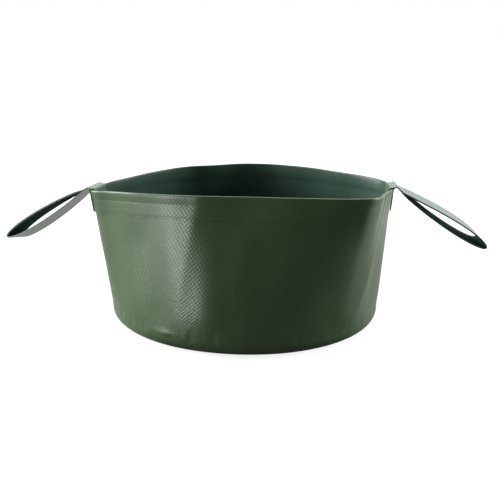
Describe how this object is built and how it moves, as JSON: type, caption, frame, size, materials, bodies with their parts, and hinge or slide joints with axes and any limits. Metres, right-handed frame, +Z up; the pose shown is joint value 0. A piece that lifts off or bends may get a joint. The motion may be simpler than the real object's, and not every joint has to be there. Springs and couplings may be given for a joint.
{
  "type": "collapsible camp washbasin",
  "caption": "Soft round bowl of coated fabric that folds flat, with a folded rim band and a strap hand loop at each side.",
  "frame": {"origin": "centre of the object's box at the ground, within 2 mm of the centre of the round base", "axes": "+Z up; +X towards the right handle; +Y towards the back, away from the lower front of the rim"},
  "size_m": [0.497, 0.271, 0.1406],
  "materials": {
    "wall_fabric": "olive green coated fabric, semi-gloss, fine weave showing",
    "floor_fabric": "darker olive green coated fabric, semi-gloss",
    "strap_fabric": "olive green coated fabric strap, semi-gloss"
  },
  "bodies": {
    "base": {"base_disc": "floor_fabric", "side_wall": "wall_fabric"},
    "rim": {"rim_band": "wall_fabric", "left_handle_inner_end": "strap_fabric", "left_handle_outer_end": "strap_fabric", "right_handle_inner_end": "strap_fabric", "right_handle_outer_end": "strap_fabric"},
    "left_neck": {"left_handle_neck": "strap_fabric"},
    "left_loop": {"left_handle_loop": "strap_fabric"},
    "right_neck": {"right_handle_neck": "strap_fabric"},
    "right_loop": {"right_handle_loop": "strap_fabric"}
  },
  "joints": [
    {"name": "collapse", "type": "slide", "parent": "base", "child": "rim", "axis": [0, 0, 1], "range_m": [-0.1, 0], "deforming": ["side_wall"]},
    {"name": "left_handle_swing", "type": "hinge", "parent": "rim", "child": "left_neck", "pos_m": [-0.14844, -0.00952, 0.13332], "axis": [-0.2125, -0.977, 0.0191], "range_deg": [-120, 50]},
    {"name": "left_handle_level", "type": "hinge", "parent": "left_neck", "child": "left_loop", "pos_m": [-0.15428, -0.00832, 0.12966], "axis": [-0.2125, -0.977, 0.0191], "range_deg": [-40, 5]},
    {"name": "right_handle_swing", "type": "hinge", "parent": "rim", "child": "right_neck", "pos_m": [0.15094, -0.00362, 0.13274], "axis": [0.052, 0.9985, -0.0145], "range_deg": [-120, 50]},
    {"name": "right_handle_level", "type": "hinge", "parent": "right_neck", "child": "right_loop", "pos_m": [0.15678, -0.00398, 0.12891], "axis": [0.052, 0.9985, -0.0145], "range_deg": [-40, 5]}
  ],
  "couplings": [
    {"joint": "left_handle_level", "follows": "collapse", "rad_per_m": 5.606},
    {"joint": "right_handle_level", "follows": "collapse", "rad_per_m": 6.0406}
  ]
}
